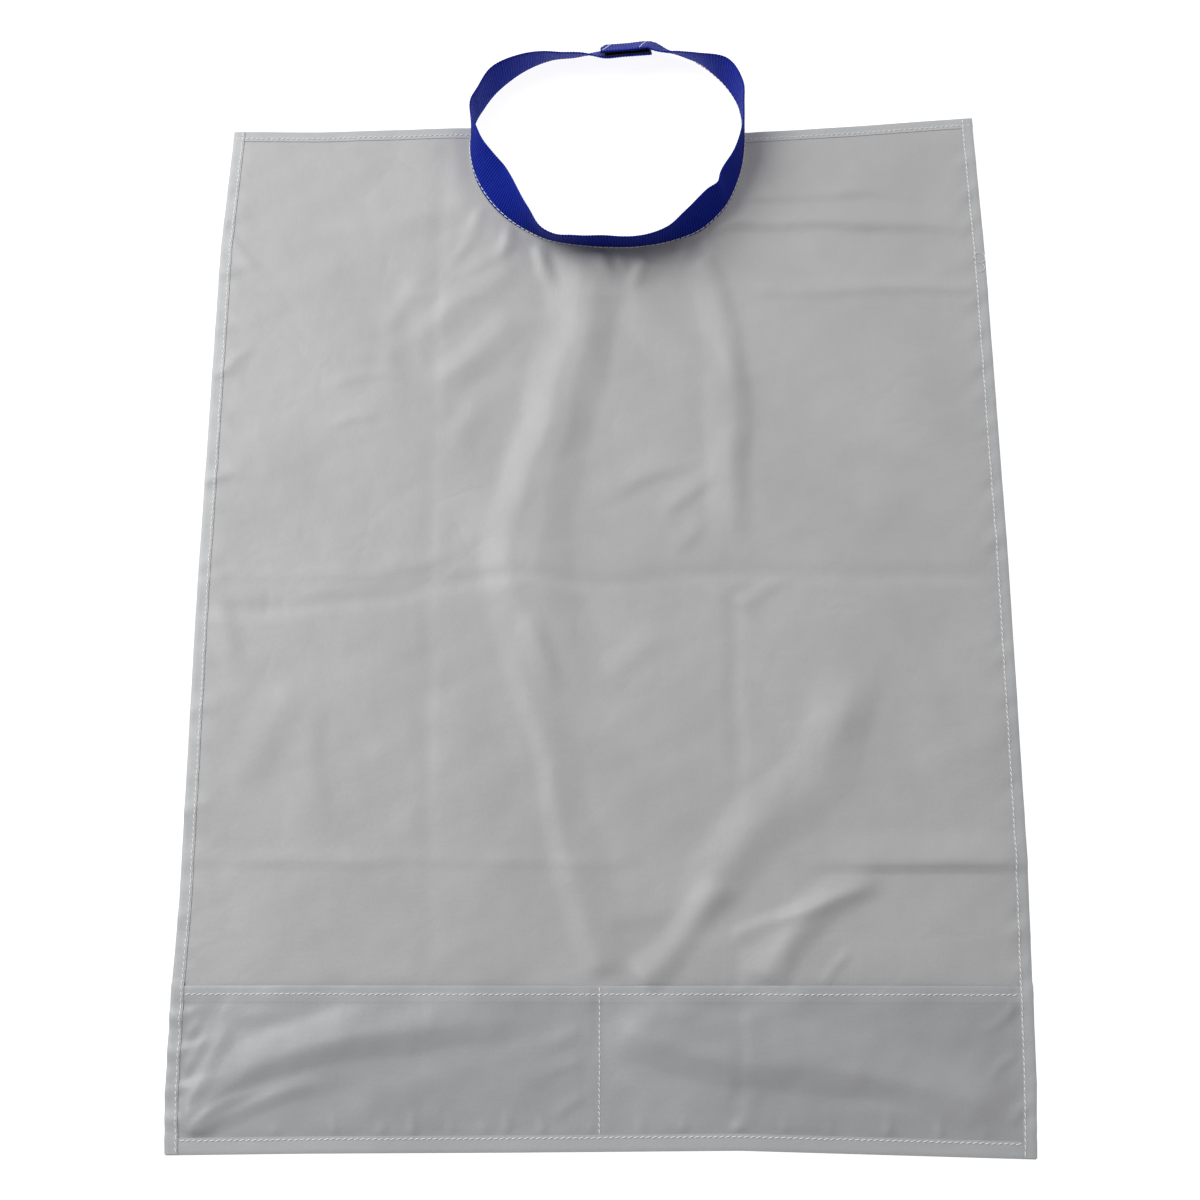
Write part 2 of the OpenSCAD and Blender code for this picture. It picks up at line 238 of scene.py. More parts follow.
def band_points(u, off, up):
    """Points at stations u, off the band's middle surface and up from its lower edge."""
    foot, through, across = band_frame(u)
    return foot + through * np.reshape(off, (-1, 1)) + across * np.reshape(up, (-1, 1))


S_MIDDLE = band_s(MIDDLE)
S_TAB_START = band_s(TAB_START)
S_END = BAND_S[-1]
S_HOOK_END = S_END - PATCH_INSET
NECKLINE = band_frame(np.linspace(LEFT_HINGE - 0.6, RIGHT_HINGE + 0.6, 260))[0][:, :2]
LEFT_NECK_X = curve_at(STATIONS, LEFT_HINGE)[0][0]
RIGHT_NECK_X = curve_at(STATIONS, RIGHT_HINGE)[0][0]

# ---- the film's wrinkles
# A wrinkle is its route (x and y in turn), height, width of its left and right flanks,
# softness, the shares of its length over which it rises and fades, and the half width of
# a flat top at each end.
FILM_WRINKLES = [
    # the long roll from the neckline to the middle, and the one that takes over below it
    ([-3, 218, -7, 190, -14, 152, -22, 114, -29, 80, -36, 50, -40, 20,
      -33, -10, -20, -40, -12, -62], 5.2, 16, 18, 1.3, 0.02, 0.30, (1, 9)),
    ([-58, 66, -66, 36, -74, 10], 1.2, 14, 12, 1.7, 0.4, 0.5),
    ([-48, -14, -38, -50, -28, -86, -18, -125, -12, -158, -6, -186, 2, -214],
     2.6, 16, 9, 1.35, 0.3, 0.05),
    ([-40, -8, -30, -33, -19, -55], 1.6, 6, 8, 1.3, 0.3, 0.3),
    ([-2, -56, 16, -36, 42, -14], 1.3, 9, 7, 1.5),
    ([-8, -100, 12, -124, 20, -152], 0.9, 9, 9, 1.7),
    # diagonals on the left of the neckline
    ([-46, 184, -64, 156, -84, 137, -108, 125], 2.6, 12, 9, 1.3, 0.25, 0.4),
    ([-48, 207, -74, 188, -94, 168, -112, 150], 1.9, 10, 9, 1.4, 0.15, 0.4),
    ([-48, 223, -70, 207, -92, 195], 1.5, 5, 7, 1.2, 0.05, 0.5),
    ([-66, 240, -84, 214, -92, 200], 1, 4, 5, 1.2, 0.1, 0.4),
    ([-72, 252, -96, 240, -130, 236, -190, 238], 1.2, 12, 7, 1.4, 0.1, 0.3),
    ([-64, 126, -72, 110, -80, 98, -80, 78], 0.9, 9, 8, 1.5),
    ([-104, 206, -112, 186, -122, 172, -118, 152], 0.8, 7, 8, 1.5),
    # rolls on the right of the neckline
    ([27, 212, 19, 190, 36, 166, 56, 142, 66, 116], 3.3, 10, 15, 1.3, 0.06, 0.35),
    ([56, 214, 66, 192, 73, 163, 76, 119, 76, 76, 77, 20], 4.2, 9, 14, 1.25, 0.06, 0.22),
    ([62, 226, 88, 230, 122, 231, 180, 229, 222, 225], 2.6, 14, 4, 1.2, 0.04, 0.35),
    ([74, 246, 100, 250, 140, 252, 196, 250], 1.3, 8, 4, 1.2, 0.06, 0.5),
    ([-2, 58, 24, 74, 60, 83], 1.6, 14, 6, 1.3, 0.4, 0.4),
    ([30, 46, 50, 60, 71, 76], 1.3, 9, 5, 1.3, 0.4, 0.4),
    ([36, 26, 50, 34, 62, 48], 0.9, 7, 5, 1.4, 0.4, 0.4),
    # gathers under the sewn edge
    ([-34, 221, -30, 206, -24, 186], 3.3, 5, 5, 1.25, 0.08, 0.75),
    ([1, 217, 3, 205, 5, 190], 2.4, 3.5, 5, 1.25, 0.06, 0.75),
    ([12, 216, 12, 208, 14, 198], 1.9, 2.5, 3, 1.2, 0.06, 0.75),
    ([26, 217, 22, 203, 15, 184], 2.7, 4, 5, 1.25, 0.06, 0.75),
    ([44, 219, 46, 208, 44, 196], 1.9, 3, 4, 1.25, 0.06, 0.75),
    ([57, 224, 62, 208, 68, 190], 2, 4, 6, 1.3, 0.06, 0.75),
    ([-52, 232, -58, 216, -64, 204], 2, 4, 4, 1.25, 0.06, 0.75),
    ([-66, 246, -78, 230, -88, 222], 1.5, 4, 4, 1.25, 0.06, 0.75),
    # lower right: a roll that crosses the fold and the dents beside the pocket's mouth
    ([139, -24, 134, -50, 128, -76, 119, -99, 104, -116, 84, -131, 69, -150,
      60, -168, 46, -186], 4.3, 16, 17, 1.4, 0.26, 0.16),
    ([72, -156, 54, -178, 38, -198, 20, -216], 3.2, 9, 11, 1.3, 0.15, 0.08),
    ([72, -187, 103, -177, 130, -166, 152, -156], 1.9, 3.2, 6, 1.05, 0.05, 0.3),
    ([152, -153, 130, -164, 110, -178, 96, -194, 84, -212], 3.2, 10, 10, 1.3, 0.2, 0.08),
    ([132, -196, 122, -206, 114, -216], 0.8, 3, 3, 1.1, 0.2, 0.2),
    ([40, -170, 18, -176, -2, -180], 1.2, 7, 9, 1.5),
    # soft swells on the left
    ([-161, -50, -158, -100, -150, -142], 1.5, 8, 14, 1.6, 0.35, 0.3),
    ([-168, -40, -184, -78, -196, -112], 1.3, 10, 10, 1.6),
    ([-84, -44, -68, -90, -52, -132], 1.8, 13, 16, 1.6),
    ([-118, 168, -120, 140, -108, 122], 1.2, 9, 9, 1.6),
    ([-152, 150, -130, 153, -112, 144], 1.2, 6, 10, 1.4, 0.3, 0.3),
    ([-158, 134, -130, 136, -105, 134], 0.8, 8, 3, 1.1, 0.2, 0.3),
    ([-158, 104, -142, 108, -124, 107], 0.7, 6, 3, 1.1, 0.2, 0.3),
    ([-222, 228, -208, 208, -198, 196], 1, 4, 5, 1.2, 0.05, 0.5),
    ([-224, 138, -212, 150, -196, 158], 0.8, 3, 5, 1.2, 0.05, 0.5),
    ([-224, 72, -212, 76, -200, 70], 0.6, 3, 4, 1.2, 0.05, 0.5),
    ([-124, 28, -104, 19, -80, 26], 1.1, 9, 4, 1.2, 0.3, 0.3),
    ([58, 4, 78, -3, 96, 9, 112, 15], 0.9, 4, 4, 1.1, 0.2, 0.3),
    ([-214, 8, -204, -24, -196, -46], 0.9, 6, 9, 1.5),
    ([168, -36, 186, -88, 196, -120], 0.8, 8, 11, 1.8),
    ([150, 150, 176, 128, 200, 116], 0.7, 10, 10, 2),
]
# Lines left by folding for storage: valleys are below zero.
STORAGE_FOLDS = [
    ([-225, -7, -175, -4, -112, 2, -95, 6, -44, 13, 1, 9, 77, 13, 227, 11],
     -0.8, 7, 6, 1.05, 0.01, 0.01),
    ([-225, 15, -96, 16, -22, 17], 0.45, 5, 4, 1.2, 0.02, 0.4),
    ([-225, -147.5, -91, -148, 40, -149], 0.55, 7, 3, 1.1, 0.01, 0.2),
    ([96, -150, 125, -149.5, 170, -150, 228, -150], 2.9, 16, 3.2, 1.2, 0.35, 0.01),
    ([-225, 194, -101, 187, 80, 184], 0.4, 5, 4, 1.1, 0.02, 0.2),
    ([84, 186, 140, 187, 227, 187], 1.1, 8, 3.4, 1.1, 0.1, 0.02),
    ([-93, 296, -95, 185, -95, 60, -94, 0, -91, -147, -89, -212], -0.42, 5, 7, 1.2, 0.02, 0.02),
    ([75, 6, 74, -60, 75, -122], -0.9, 6, 6, 1.15, 0.05, 0.3),
    ([75, -190, 74, -204, 73, -214], -0.8, 5, 5, 1.1, 0.2, 0.02),
]
POCKET_WRINKLES = [
    # rolls that fan out of the lower left corner
    ([-216, -291, -196, -270, -176, -256, -150, -247, -110, -239, -60, -232,
      -20, -228], 5.2, 15, 10, 1.3, 0.06, 0.35),
    ([-214, -291, -186, -279, -156, -268, -118, -262], 2.7, 8, 6, 1.15, 0.04, 0.6),
    ([-212, -288, -196, -276, -178, -270, -160, -262], 1.2, 3.5, 4, 1.1, 0.04, 0.7),
    ([-216, -287, -206, -262, -196, -242, -188, -224], 1.8, 6, 6, 1.25, 0.1, 0.3),
    ([-218, -262, -208, -248, -200, -230], 1.2, 3.5, 4, 1.15, 0.05, 0.5),
    ([-218, -244, -210, -234, -204, -222], 1, 3, 4, 1.15, 0.05, 0.5),
    ([-218, -276, -208, -268, -196, -264], 0.9, 3, 4, 1.15, 0.05, 0.5),
    ([-196, -221, -180, -228, -150, -231], 1.1, 5, 6, 1.4, 0.1, 0.5),
    ([-130, -276, -100, -262, -60, -256], 1, 9, 9, 1.6),
    # the right-hand compartment's long roll
    ([4, -232, 50, -247, 90, -254, 135, -258, 175, -267, 214, -283], 5.8, 21, 13, 1.25, 0.12, 0.12),
    ([90, -288, 140, -279, 190, -283], 1, 6, 6, 1.5, 0.2, 0.3),
    ([22, -226, 60, -230, 120, -229], 1.3, 6, 9, 1.5),
    ([70, -280, 77, -272, 86, -270], 0.6, 5, 6, 1.4, 0.3, 0.3),
    ([-8, -236, -22, -243, -36, -244], 0.9, 5, 5, 1.3, 0.1, 0.6),
    ([-6, -252, -18, -255, -34, -262], 0.8, 4, 6, 1.3, 0.1, 0.6),
    ([-5, -272, -14, -277, -24, -286], 0.9, 4, 5, 1.3, 0.1, 0.5),
    ([12, -236, 28, -246, 38, -262], 0.9, 6, 7, 1.5, 0.25, 0.5),
    ([10, -262, 24, -272, 34, -286], 0.7, 6, 6, 1.5, 0.25, 0.5),
    ([216, -222, 206, -234, 192, -240], 1, 3, 4, 1.2, 0.05, 0.5),
    ([217, -250, 206, -256, 196, -268], 0.9, 3, 4, 1.2, 0.05, 0.5),
    ([81, -270, 76, -282, 72, -292], 1.2, 6, 5, 1.5, 0.5, 0.05),
    ([74, -222, 73, -250, 72, -276], -0.9, 5, 6, 1.1, 0.1, 0.1),
    ([-90, -222, -90, -250, -89, -280], -0.4, 5, 6, 1.1, 0.1, 0.1),
    ([150, -226, 168, -236, 200, -240], 1, 7, 9, 1.6, 0.3, 0.3),
]
# Where the seams draw up the left (-1) and right (1) edges: y, height and how far in.
HEM_PUCKERS = {
    -1: [
        (-221, 0.7, 13), (-228, 1.2, 24), (-240, 0.9, 15), (-246, 1.3, 28), (-259, 0.8, 14),
        (-266, 1.4, 30), (-281, 1.1, 22), (-289, 0.7, 12), (262, 0.7, 12), (240, 0.8, 15),
        (206, 1, 22), (168, 0.7, 16), (141, 0.9, 24), (74, 0.8, 20), (22, 0.6, 14),
        (-63, 0.6, 16), (-118, 0.8, 18), (-176, 0.6, 15),
    ],
    1: [
        (271, 0.6, 12), (224, 0.7, 14), (186, 0.6, 12), (118, 0.7, 18), (31, 0.6, 15),
        (-58, 0.6, 16), (-121, 0.6, 14), (-186, 0.7, 16), (-224, 0.8, 12), (-241, 0.7, 14),
        (-262, 0.9, 16), (-283, 0.8, 20),
    ],
}
PUCKER_XS = [-168, -136, -112, -95, -76, -58, -47, -28, -3, 23, 44, 73, 96, 120, 149, 176, 198]
WRINKLE_SIZE = 0.72
POCKET_WRINKLE_SIZE = 0.52
REST_HEIGHT = 1.05
LOWEST = 0.16
POCKET_GAPE = 3.4


def wrinkle(x, y, route, height, w_left, w_right, soft, rise=0.3, fade=0.4, flat_top=(0, 0)):
    """Height of one wrinkle at x, y: two straight flanks with rounded top and feet."""
    route = np.reshape(route, (-1, 2))
    path = curve_at(route, np.linspace(0, len(route) - 1, 8 * (len(route) - 1) + 1))
    reach = 3.2 * max(w_left, w_right)
    low, high = path.min(0) - reach, path.max(0) + reach
    near = (x > low[0]) & (x < high[0]) & (y > low[1]) & (y < high[1])
    out = np.zeros(x.shape)
    if not near.any():
        return out
    dist, share, side = nearest_on(path, x[near], y[near])
    width = np.where(side > 0, w_left, w_right)
    ends = smooth(share / rise) * smooth((1 - share) / fade)
    dist = np.maximum(dist - flat_top[0] * (1 - share) - flat_top[1] * share, 0)
    crown = width * (0.06 + 0.5 * (soft - 1))
    t = (np.sqrt(dist * dist + crown * crown) - 0.75 * crown) / width
    foot = 0.05 + 0.28 * (soft - 1)
    flank = 0.5 * ((1 - t) + np.sqrt((1 - t) ** 2 + foot * foot))
    out[near] = height * ends * flank * smooth((3.0 - t) / 1.6)
    return out


def wandered(x, y, reach):
    """Positions moved about a little, so that wrinkles don't run quite true."""
    dx = random_swell(x, y, 41, 14, 45, 130, 0.06)
    dy = random_swell(x, y, 43, 14, 45, 130, 0.06)
    return x + np.clip(dx, -1, 1) * reach, y + np.clip(dy, -1, 1) * reach


def edge_pucker(x, y):
    """Small waves where the hems are drawn up by their seams."""
    inset = SIDE_X - np.abs(x)
    side = smooth((16 - inset) / 12.0) * (0.45 + 0.55 * smooth(inset / 4))
    waves = random_swell(y + 0.6 * inset, np.sign(x) * 37.0, 5, 9, 7, 24, 0.13)
    pocket = 1 + 0.9 * smooth((MOUTH_Y - y) / 12.0) * (x < 0)
    return side * waves * pocket * smooth((y - BOTTOM_Y) / 12.0)


def floor_room(x, y):
    """Share of the wrinkles left near the outer edges, which lie on the floor."""
    side = smooth((SIDE_X + 3 - np.abs(x)) / 16.0)
    top = smooth((TOP_Y + 3 - y) / 18.0)
    bottom = smooth((y - BOTTOM_Y + 3) / 16.0)
    return (0.55 + 0.45 * side) * (0.5 + 0.5 * top) * (0.3 + 0.7 * bottom)


def film_height(x, y):
    """Height of the film's back face over the floor, in flat sheet coordinates."""
    h = np.full(x.shape, REST_HEIGHT)
    wx, wy = wandered(x, y, 2.2)
    uneven = WRINKLE_SIZE * (1 + np.clip(random_swell(x, y, 17, 14, 40, 130, 0.016), -0.3, 0.3))
    for w in FILM_WRINKLES:
        h += uneven * wrinkle(wx, wy, *w)
    h = h * (1 - 0.75 * smooth((MOUTH_Y + 4 - y) / 26.0))
    fx, fy = wandered(x, y, 0.8)
    for w in STORAGE_FOLDS:
        h += uneven * wrinkle(fx, fy, *w)
    h += random_swell(x, y, 3, 26, 22, 80, 0.016)
    h += random_swell(x, y, 11, 26, 8, 24, 0.015)
    h += edge_pucker(x, y)
    dist, _, _ = nearest_on(NECKLINE, x, y)
    seam = np.exp(-((dist / 7.0) ** 2))
    h = h * floor_room(x, y) * (1 - 0.55 * seam)
    h += neck_lift(y) * np.exp(-((dist / 18.0) ** 1.4)) - 0.5 * seam
    for side, puckers in HEM_PUCKERS.items():
        for at, tall, reach in puckers:
            xs = side * 227, side * (226 - 0.5 * reach), side * (226 - 1.15 * reach)
            route = list(zip(xs, (at - 2, at + 1, at + 0.25 * reach)))
            h += wrinkle(x, y, route, 0.9 * tall, 3.4, 4.4, 1.4, 0.02, 0.85)
    over = h - LOWEST
    return LOWEST + 0.5 * (over + np.sqrt(over**2 + 0.05))


def arch(x):
    """Each compartment's share of the gape, from 0 at its sides to 1 in its middle."""
    left = np.clip((x + SIDE_X - 8) / (DIVIDER_X + SIDE_X - 9.5), 0, 1)
    right = np.clip((SIDE_X - 8 - x) / (SIDE_X - 9.5 - DIVIDER_X), 0, 1)
    return np.sin(np.pi * np.where(x < DIVIDER_X, left, right))


def pocket_lift(x, y):
    """How far the pocket's panel stands off the film behind it."""
    above_hem = y - BOTTOM_Y - BOTTOM_HEM
    run = np.clip(above_hem / (MOUTH_Y - BOTTOM_Y - BOTTOM_HEM), 0, 1)
    lift = POCKET_GAPE * np.maximum(arch(x), 0) ** 0.8 * np.sin(np.pi / 2 * run)
    wx, wy = wandered(x, y, 1.6)
    for w in POCKET_WRINKLES:
        lift = lift + POCKET_WRINKLE_SIZE * wrinkle(wx, wy, *w)
    for k, px in enumerate(PUCKER_XS):
        tall = 9 + (k * 7) % 11
        route = [(px, BOTTOM_Y + 8), (px + 1.5 * (-1) ** k, BOTTOM_Y + 8 + tall)]
        lift = lift + wrinkle(x, y, route, 0.4 + 0.15 * (k % 4), 2.8, 3.6, 1.3, 0.05, 0.9)
    lift = lift + random_swell(x, y, 21, 22, 12, 60, 0.03)
    held = smooth((SIDE_X - 6.8 - np.abs(x)) / 5.0) * smooth(np.abs(x - DIVIDER_X) / 5.0)
    return np.maximum(lift, 0) * held * smooth((above_hem + 1) / 5.0)


def on_sheet(x, y, z):
    """Points moved sideways a little, because the sheet's edges aren't quite straight."""
    left = np.interp(-y, [-300, -220, 5, 168, 213, 272, 300], [0, -3.6, -3.6, -1.6, -2.5, -2, 0])
    right = np.interp(-y, [-300, -206, -21, 147, 214, 262, 300], [0, 2.8, 5, 5, 3.4, 2.4, 0])
    top_xs = [-225, -170, -100, -60, 60, 89, 120, 158, 200, 225]
    top = np.interp(x, top_xs, [0, -1.5, -0.4, 0, -5, -7, -6, -4, -1.4, 0])
    bottom = np.interp(x, [-225, -150, -40, 74, 150, 225], [0, 1.2, 2.2, 3.6, 1.8, 0])
    dx = left * np.clip(-x / SIDE_X, 0, 1) + right * np.clip(x / SIDE_X, 0, 1)
    dy = top * smooth((y - 225) / 75.0) + bottom * smooth((-y - 235) / 65.0)
    return np.stack([x + dx, y + dy, z], -1)


# ---- materials
class Material:
    """A new material, with short ways to add nodes and to set or link what goes in."""

    def __init__(self, name):
        self.made = bpy.data.materials.new(name)
        self.made.use_nodes = True
        self.tree = self.made.node_tree
        self.shader = self.tree.nodes["Principled BSDF"]

    def put(self, node, **values):
        """Sets properties and inputs; a socket is linked, and in_0 is the first input."""
        for key, value in values.items():
            if hasattr(node, key):
                setattr(node, key, value)
                continue
            place = int(key[3:]) if key.startswith("in_") else key.replace("_", " ")
            socket = node.inputs[place]
            if isinstance(value, bpy.types.NodeSocket):
                self.tree.links.new(value, socket)
            else:
                socket.default_value = (*value, 1) if socket.type == "RGBA" else value

    def node(self, kind, result, **values):
        """Adds a node and returns the output that is called result."""
        node = self.tree.nodes.new("ShaderNode" + kind)
        self.put(node, **values)
        return node.outputs[result]

    def maths(self, operation, *inputs, **more):
        numbered = {"in_%d" % k: value for k, value in enumerate(inputs)}
        return self.node("Math", "Value", operation=operation, **numbered, **more)

    def noise(self, vector, scale, detail, result="Fac", **more):
        return self.node("TexNoise", result, Vector=vector, Scale=scale, Detail=detail, **more)

    def lines(self, vector, axis, pitch_mm):
        """Lines across one axis of a vector that is in metres, one every pitch_mm."""
        return self.node(
            "TexWave", "Fac", wave_type="BANDS", bands_direction=axis, wave_profile="SIN",
            Vector=vector, Scale=math.tau / (20.0 * pitch_mm * MM), Distortion=0.0,
        )

    def bump(self, height, tall_mm, strength=0.5, **under):
        return self.node(
            "Bump", "Normal", Height=height, Distance=tall_mm * MM, Strength=strength, **under
        )

    def tint(self, factor, low, high):
        """Makes the base colour run from low to high."""
        mixed = self.node("Mix", "Result", data_type="RGBA", Factor=factor, A=low, B=high)
        self.put(self.shader, Base_Color=mixed)


def film_material(name, low, high, roughness):
    """Frosted plastic film: clouded grey, a faint embossed weave, creases, fine crumples."""
    m = Material(name)
    flat = m.node("Attribute", "Vector", attribute_name="flat")
    grain = m.noise(flat, 900.0, 2.0)
    cloud = m.noise(flat, 14.0, 4.0, Roughness=0.55)
    clouded = m.node("MapRange", "Result", From_Min=0.33, From_Max=0.67, Value=cloud)
    speckled = m.maths("MULTIPLY_ADD", grain, 1.1, clouded)
    m.tint(m.maths("SUBTRACT", speckled, 0.55, use_clamp=True), low, high)
    uneven = {"To_Min": roughness - 0.06, "To_Max": roughness + 0.08}
    m.put(m.shader, Roughness=m.node("MapRange", "Result", Value=grain, **uneven), IOR=1.48)
    weave = m.maths("ADD", m.lines(flat, "X", WEAVE_PITCH), m.lines(flat, "Y", WEAVE_PITCH))
    woven = m.bump(weave, 0.02)
    # short crisp creases, in patches only
    bent = m.node(
        "VectorMath", "Vector", operation="MULTIPLY_ADD",
        in_0=m.noise(flat, 28.0, 3.0, "Color"), in_1=(0.03, 0.03, 0.0), in_2=flat,
    )
    cells = m.node("TexVoronoi", "Distance", feature="DISTANCE_TO_EDGE", Scale=34.0, Vector=bent)
    soft = {"interpolation_type": "SMOOTHSTEP"}
    ridge = m.node("MapRange", "Result", From_Max=0.16, Value=cells, **soft)
    where = m.noise(flat, 13.0, 2.0)
    patches = m.node("MapRange", "Result", From_Min=0.48, From_Max=0.66, Value=where, **soft)
    creased = m.bump(m.maths("MULTIPLY", ridge, patches), 0.16, Normal=woven)
    crumple = m.noise(flat, 85.0, 7.0, Roughness=0.72)
    m.put(m.shader, Normal=m.bump(crumple, 0.5, Normal=creased))
    return m.made


def webbing_material():
    """Ribbed polyester webbing: ribs run across the band, yarns along it. The base colour carries
    painted shade in the rib grooves and a random yarn tone.
    """
    m = Material("webbing_blue")
    tape = m.node("Attribute", "Vector", attribute_name="tape")
    noise = m.noise(tape, 260.0, 3.0)
    ribs = m.lines(tape, "X", RIB_PITCH)
    # painted shade: the ribs darken the base colour in their grooves; the noise adds a random yarn
    # tone
    painted_rib_shade_and_tone = m.maths("MULTIPLY_ADD", ribs, 0.8, m.maths("MULTIPLY", noise, 0.3))
    m.tint(painted_rib_shade_and_tone, (0.001, 0.003, 0.055), (0.008, 0.026, 0.400))
    relief = m.bump(m.maths("ADD", m.lines(tape, "Y", 0.42), noise), 0.05)
    m.put(m.shader, Roughness=0.55, Specular_IOR_Level=0.05, Normal=relief)
    m.put(m.shader, Sheen_Weight=0.03, Sheen_Roughness=0.4, Sheen_Tint=(0.10, 0.18, 1.0))
    return m.made


def yarn_material(name, low, high, roughness, scale, detail=3.0, tall=0.06, strength=0.5, sheen=0.0):
    """Thread, hooks or loops: fine specks in tint and relief."""
    m = Material(name)
    noise = m.noise(m.node("TexCoord", "Object"), scale, detail)
    m.tint(noise, low, high)
    relief = m.bump(noise, tall, strength)
    m.put(m.shader, Roughness=roughness, Sheen_Weight=sheen, Normal=relief)
    return m.made


FILM_MAT = film_material("film_grey", (0.408, 0.403, 0.410), (0.452, 0.449, 0.454), 0.44)
HEM_MAT = film_material("film_doubled", (0.418, 0.426, 0.440), (0.464, 0.472, 0.485), 0.40)
MOUTH_MAT = film_material("film_mouth", (0.385, 0.396, 0.412), (0.430, 0.440, 0.455), 0.38)
POCKET_MAT = film_material("film_pocket", (0.352, 0.355, 0.366), (0.400, 0.402, 0.413), 0.38)
WEB_MAT = webbing_material()
THREAD_MAT = yarn_material(
    "thread_white", (0.80, 0.80, 0.79), (0.98, 0.98, 0.97), 0.6, 2600.0, 2.0, 0.05, 0.6, 0.3
)
HOOK_MAT = yarn_material("hook_black", (0.004, 0.004, 0.005), (0.014, 0.014, 0.016), 0.38, 900.0)
LOOP_MAT = yarn_material("loop_black", (0.006, 0.006, 0.008), (0.022, 0.022, 0.026), 0.85, 1400.0)


# ---- mesh helpers
def add_object(name, data):
    obj = bpy.data.objects.new(name, data)
    bpy.context.scene.collection.objects.link(obj)
    return obj


def make_object(name, verts_mm, faces, materials, face_mats=None, attributes=None, sharp=()):
    """A smooth-shaded mesh object from points in millimetres."""
    mesh = bpy.data.meshes.new(name)
    mesh.from_pydata((np.asarray(verts_mm) * MM).tolist(), [], faces)
    for mat in materials:
        mesh.materials.append(mat)
    mesh.polygons.foreach_set("use_smooth", np.ones(len(mesh.polygons), bool))
    if face_mats is not None:
        mesh.polygons.foreach_set("material_index", np.asarray(face_mats, np.int32))
    for key, values in (attributes or {}).items():
        attr = mesh.attributes.new(key, "FLOAT_VECTOR", "POINT")
        attr.data.foreach_set("vector", (np.asarray(values) * MM).astype(np.float32).ravel())
    if sharp:
        keys = {tuple(sorted(e)) for e in sharp}
        attr = mesh.attributes.new("sharp_edge", "BOOLEAN", "EDGE")
        attr.data.foreach_set("value", [tuple(sorted(e.vertices)) in keys for e in mesh.edges])
    mesh.update()
    return add_object(name, mesh)


def skin(rings, sides):
    """Faces round a run of rings with so many points each, closed at both ends."""
    faces = []
    for first in range(0, (rings - 1) * sides, sides):
        for m in range(sides):
            a, b = first + m, first + (m + 1) % sides
            faces.append([a, b, b + sides, a + sides])
    faces.append(list(reversed(range(sides))))
    faces.append([(rings - 1) * sides + m for m in range(sides)])
    return faces


class Folded:
    """Rows or columns of a sheet. Each has its place in the flat sheet, its place once the
    hems are folded, its fold angle (0 on the sheet, pi on a hem) and its hem's side."""

    TURN_STEPS = 4
    TURN_CELL = 0.1

    def __init__(self, plain, low_hem=0.0, high_hem=0.0, cell=2.2):
        rows = [(at, at, 0.0, 0) for at in plain]
        for hem, side, edge in ((low_hem, -1, plain[0]), (high_hem, 1, plain[-1])):
            if not hem:
                continue
            part = []
            for k in range(1, self.TURN_STEPS + 1):
                turn = math.pi * k / self.TURN_STEPS
                part.append((edge + side * self.TURN_CELL * k, edge, turn, side))
            start = edge + side * self.TURN_CELL * self.TURN_STEPS
            for run in spaced(0, hem, cell)[1:] if hem > cell else [hem]:
                part.append((start + side * run, edge - side * run, math.pi, side))
            rows = part[::-1] + rows if side < 0 else rows + part
        self.flat, self.place, self.angle, self.side = np.array(rows, float).T


def sheet_object(name, cols, rows, base, pile_x, pile_y, up, height, materials, cut=None, hem_y=1e9):
    """A closed, two-sided film sheet. base, pile_x and pile_y give the film's own height in
    the pile and the pile's height under the side and end hems; up is 1 where hems fold to
    the front. Past the line hem_y a hem lies behind the sheet and shows through it."""
    x0, y0 = np.meshgrid(cols.place, rows.place, indexing="ij")
    ax, ay = np.meshgrid(cols.angle, rows.angle, indexing="ij")
    sx, sy = np.meshgrid(cols.side, rows.side, indexing="ij")
    fx, fy = np.meshgrid(cols.flat, rows.flat, indexing="ij")
    half_x = np.where(ax > 0, pile_x(x0, y0), 0.0) / 2
    half_y = np.where(ay > 0, pile_y(x0, y0), 0.0) / 2
    x = x0 + sx * half_x * np.sin(ax)
    y = y0 + sy * half_y * np.sin(ay)
    turn = half_x * (1 - np.cos(ax)) + half_y * (1 - np.cos(ay))
    z = base(x, y) + up * turn + height(x, y)
    angle = np.maximum(ax, ay)
    normal = np.stack([-up * sx * np.sin(ax), -up * sy * np.sin(ay), np.cos(angle)], -1)
    mid = on_sheet(x, y, z)
    flat = np.stack([fx, fy, np.zeros_like(fx)], -1)
    gap = np.ones(x.shape) if cut is None else cut(mid[..., 0], mid[..., 1])
    corner = (ax > 0) & (ay > 0)
    doubled = (angle > 0) | (y > hem_y)
    return close_sheet(name, (mid, normal, flat), corner, gap, doubled, materials)


